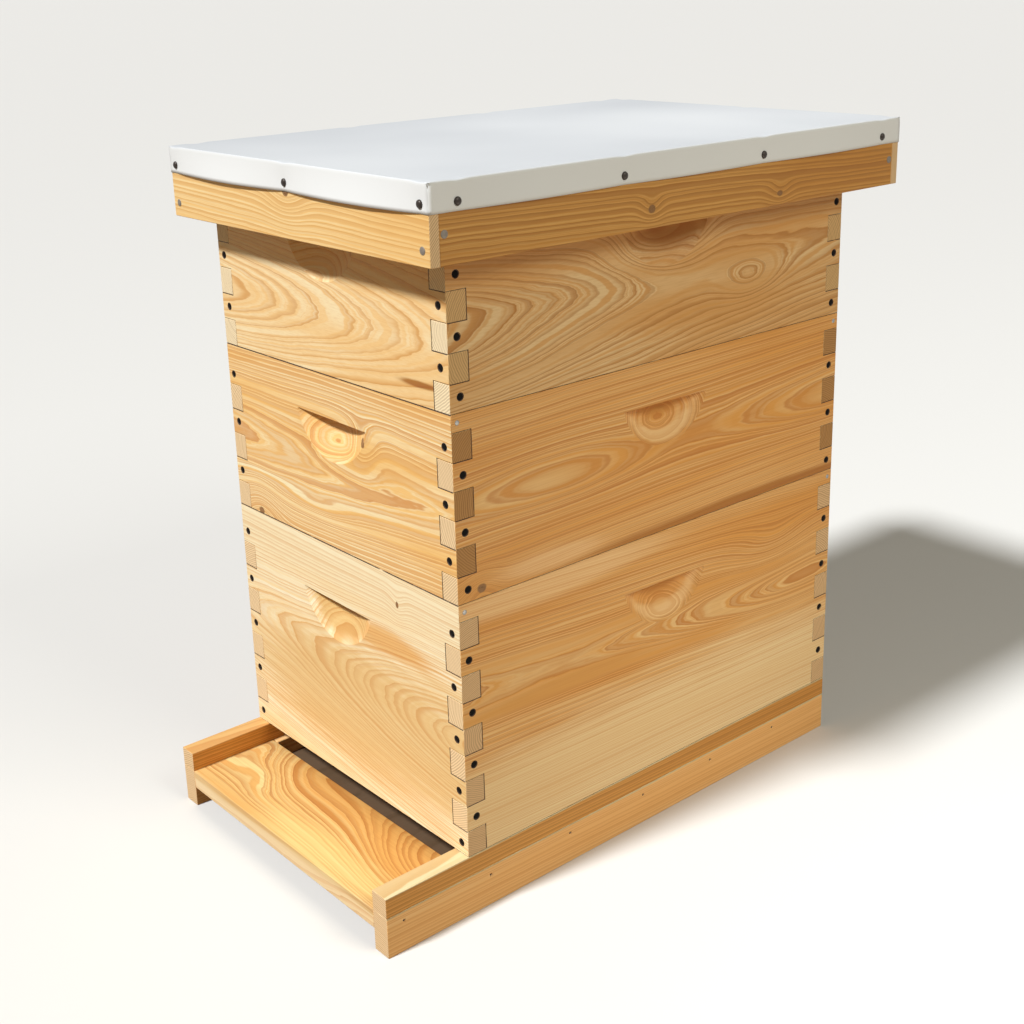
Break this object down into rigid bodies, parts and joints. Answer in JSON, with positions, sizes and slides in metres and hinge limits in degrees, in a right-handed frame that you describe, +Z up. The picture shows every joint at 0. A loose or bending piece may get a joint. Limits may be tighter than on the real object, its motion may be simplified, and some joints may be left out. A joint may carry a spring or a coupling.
{
  "type": "beehive",
  "caption": "Stacking wooden beehive: bottom board with landing, deep box, supers with hanging frames, inner cover and metal-topped telescoping lid; every layer lifts off.",
  "frame": {"origin": "on the ground below the middle of the hive's bounding box", "axes": "+Z up, -Y towards the front with the landing, +X to the right seen from the front"},
  "size_m": [0.4058, 0.6578, 0.6662],
  "materials": {
    "box_wood": "planed bare pine",
    "rail_wood": "planed bare pine",
    "floor_wood": "planed bare fir",
    "frame_wood": "planed bare lime",
    "panel_wood": "plywood",
    "white_sheet": "white satin",
    "dark_nail": "black oxide",
    "bright_nail": "bright",
    "foundation": "waxed"
  },
  "bodies": {
    "bottom_board": {"left_rail": "rail_wood", "right_rail": "rail_wood", "left_rail_strip": "rail_wood", "right_rail_strip": "rail_wood", "floor_cleats": "rail_wood", "landing_board": "floor_wood", "floor_panel": "panel_wood", "bottom_board_nails": "bright_nail"},
    "deep_box": {"deep_front_board": "box_wood", "deep_back_board": "box_wood", "deep_left_board": "box_wood", "deep_right_board": "box_wood", "deep_nails": "dark_nail"},
    "deep_frames": {"deep_frame_1": "frame_wood", "deep_frame_2": "frame_wood", "deep_frame_3": "frame_wood", "deep_frame_4": "frame_wood", "deep_frame_5": "frame_wood", "deep_frame_6": "frame_wood", "deep_frame_7": "frame_wood", "deep_frame_8": "frame_wood", "deep_foundation": "foundation"},
    "middle_super_box": {"middle_super_front_board": "box_wood", "middle_super_back_board": "box_wood", "middle_super_left_board": "box_wood", "middle_super_right_board": "box_wood", "middle_super_nails": "dark_nail"},
    "middle_super_frames": {"middle_super_frame_1": "frame_wood", "middle_super_frame_2": "frame_wood", "middle_super_frame_3": "frame_wood", "middle_super_frame_4": "frame_wood", "middle_super_frame_5": "frame_wood", "middle_super_frame_6": "frame_wood", "middle_super_frame_7": "frame_wood", "middle_super_frame_8": "frame_wood", "middle_super_foundation": "foundation"},
    "upper_super_box": {"upper_super_front_board": "box_wood", "upper_super_back_board": "box_wood", "upper_super_left_board": "box_wood", "upper_super_right_board": "box_wood", "upper_super_nails": "dark_nail"},
    "upper_super_frames": {"upper_super_frame_1": "frame_wood", "upper_super_frame_2": "frame_wood", "upper_super_frame_3": "frame_wood", "upper_super_frame_4": "frame_wood", "upper_super_frame_5": "frame_wood", "upper_super_frame_6": "frame_wood", "upper_super_frame_7": "frame_wood", "upper_super_frame_8": "frame_wood", "upper_super_foundation": "foundation"},
    "inner_cover": {"inner_cover_panel": "panel_wood", "inner_cover_rims": "rail_wood"},
    "lid": {"lid_front_rim": "box_wood", "lid_back_rim": "box_wood", "lid_left_rim": "box_wood", "lid_right_rim": "box_wood", "lid_panel": "panel_wood", "lid_sheet": "white_sheet", "lid_rim_nails": "bright_nail", "lid_sheet_nails": "dark_nail"}
  },
  "joints": [
    {"name": "deep_box_lift", "type": "slide", "parent": "bottom_board", "child": "deep_box", "axis": [0, 0, 1], "range_m": [0, 0.15]},
    {"name": "deep_frames_lift", "type": "slide", "parent": "deep_box", "child": "deep_frames", "axis": [0, 0, 1], "range_m": [0, 0.26]},
    {"name": "middle_super_lift", "type": "slide", "parent": "deep_frames", "child": "middle_super_box", "axis": [0, 0, 1], "range_m": [0, 0.15]},
    {"name": "middle_super_frames_lift", "type": "slide", "parent": "middle_super_box", "child": "middle_super_frames", "axis": [0, 0, 1], "range_m": [0, 0.18]},
    {"name": "upper_super_lift", "type": "slide", "parent": "middle_super_frames", "child": "upper_super_box", "axis": [0, 0, 1], "range_m": [0, 0.15]},
    {"name": "upper_super_frames_lift", "type": "slide", "parent": "upper_super_box", "child": "upper_super_frames", "axis": [0, 0, 1], "range_m": [0, 0.18]},
    {"name": "inner_cover_lift", "type": "slide", "parent": "upper_super_frames", "child": "inner_cover", "axis": [0, 0, 1], "range_m": [0, 0.08]},
    {"name": "lid_lift", "type": "slide", "parent": "inner_cover", "child": "lid", "axis": [0, 0, 1], "range_m": [0, 0.12]}
  ]
}
